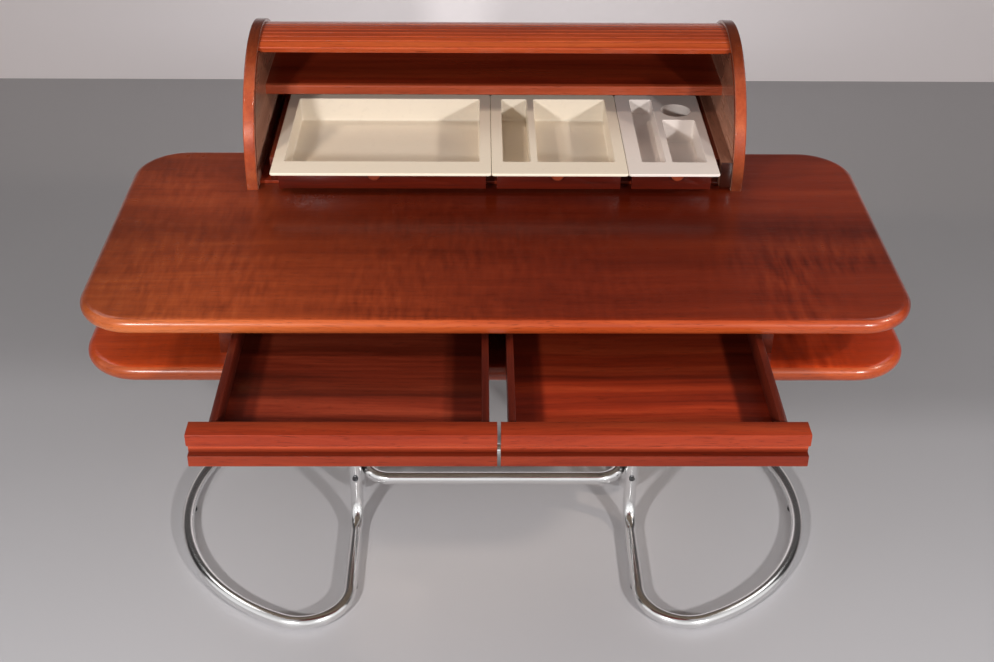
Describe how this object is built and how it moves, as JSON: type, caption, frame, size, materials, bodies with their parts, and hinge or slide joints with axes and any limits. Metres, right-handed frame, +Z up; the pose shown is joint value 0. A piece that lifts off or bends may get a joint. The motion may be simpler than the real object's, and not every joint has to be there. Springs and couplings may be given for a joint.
{
  "type": "roll-top writing desk",
  "caption": "Writing desk with two round-edged slabs, drawers between them, a half-round tambour roll top over sliding trays, and a bent chromed tube base.",
  "frame": {"origin": "on the floor, under the centre of the desk top, which is also the middle of the whole object as shown with its drawers pulled out", "axes": "+X to the sitter's right, +Y from the sitter towards the roll top, +Z up"},
  "size_m": [1.56, 1.282, 1.006],
  "materials": {
    "lacquered_wood": "gloss lacquer over reddish walnut-like veneer and solid edges",
    "drawer_wood": "satin lacquer",
    "carcass_wood": "satin lacquer on hidden boards",
    "tambour_wood": "gloss lacquer",
    "canvas": "plain weave backing cloth",
    "cream_plastic": "moulded, soft gloss",
    "grey_white_plastic": "moulded, soft gloss",
    "screw_steel": "bright zinc",
    "bolt_steel": "darkened steel",
    "chromed_tube": "polished chrome with light wear",
    "plate_steel": "black lacquer",
    "glide_plastic": "matt black"
  },
  "bodies": {
    "desk": {"desktop": "lacquered_wood", "lower_slab": "lacquered_wood", "case_side_left": "lacquered_wood", "case_side_right": "lacquered_wood", "centre_divider": "lacquered_wood", "case_back": "lacquered_wood", "rolltop_side_left": "lacquered_wood", "rolltop_side_right": "lacquered_wood", "rolltop_shelf": "lacquered_wood", "tray_filler": "lacquered_wood", "rolltop_floor": "carcass_wood", "rolltop_back": "carcass_wood", "left_runner_inner": "carcass_wood", "left_runner_outer": "carcass_wood", "right_runner_inner": "carcass_wood", "right_runner_outer": "carcass_wood", "tray_rail_left": "carcass_wood", "tray_rail_centre_left": "carcass_wood", "tray_rail_centre_right": "carcass_wood", "tray_rail_right": "carcass_wood", "plate_screws": "screw_steel", "leg_bolts": "bolt_steel", "leg_nuts": "bolt_steel", "ring_bolts": "bolt_steel", "foot_tube_left": "chromed_tube", "foot_tube_right": "chromed_tube", "stretcher_ring": "chromed_tube", "leg_spacer_left": "bolt_steel", "leg_spacer_right": "bolt_steel", "leg_plate_left": "plate_steel", "leg_plate_right": "plate_steel", "floor_glides": "glide_plastic"},
    "left_drawer": {"left_drawer_front": "lacquered_wood", "left_drawer_inner_side": "drawer_wood", "left_drawer_outer_side": "drawer_wood", "left_drawer_back": "drawer_wood", "left_drawer_bottom": "drawer_wood"},
    "right_drawer": {"right_drawer_front": "lacquered_wood", "right_drawer_inner_side": "drawer_wood", "right_drawer_outer_side": "drawer_wood", "right_drawer_back": "drawer_wood", "right_drawer_bottom": "drawer_wood"},
    "tambour": {"tambour_lead_rail": "tambour_wood", "tambour_slats": "tambour_wood", "tambour_canvas": "canvas"},
    "large_tray": {"large_tray": "cream_plastic", "large_tray_front": "lacquered_wood", "large_tray_knob": "lacquered_wood", "large_tray_screw": "screw_steel"},
    "medium_tray": {"medium_tray": "cream_plastic", "medium_tray_front": "lacquered_wood", "medium_tray_knob": "lacquered_wood", "medium_tray_screw": "screw_steel"},
    "small_tray": {"small_tray": "grey_white_plastic", "small_tray_front": "lacquered_wood", "small_tray_knob": "lacquered_wood", "small_tray_screw": "screw_steel", "small_tray_cup": "grey_white_plastic"}
  },
  "joints": [
    {"name": "left_drawer_slide", "type": "slide", "parent": "desk", "child": "left_drawer", "axis": [0, -1, 0], "range_m": [-0.303, 0.04]},
    {"name": "right_drawer_slide", "type": "slide", "parent": "desk", "child": "right_drawer", "axis": [0, -1, 0], "range_m": [-0.303, 0.04]},
    {"name": "large_tray_slide", "type": "slide", "parent": "desk", "child": "large_tray", "axis": [0, -1, 0], "range_m": [-0.06, 0.15]},
    {"name": "medium_tray_slide", "type": "slide", "parent": "desk", "child": "medium_tray", "axis": [0, -1, 0], "range_m": [-0.06, 0.15]},
    {"name": "small_tray_slide", "type": "slide", "parent": "desk", "child": "small_tray", "axis": [0, -1, 0], "range_m": [-0.06, 0.15]},
    {"name": "tambour_roll", "type": "hinge", "parent": "desk", "child": "tambour", "pos_m": [0, 0.4, 0.765], "axis": [1, 0, 0], "range_deg": [0, 60]}
  ]
}
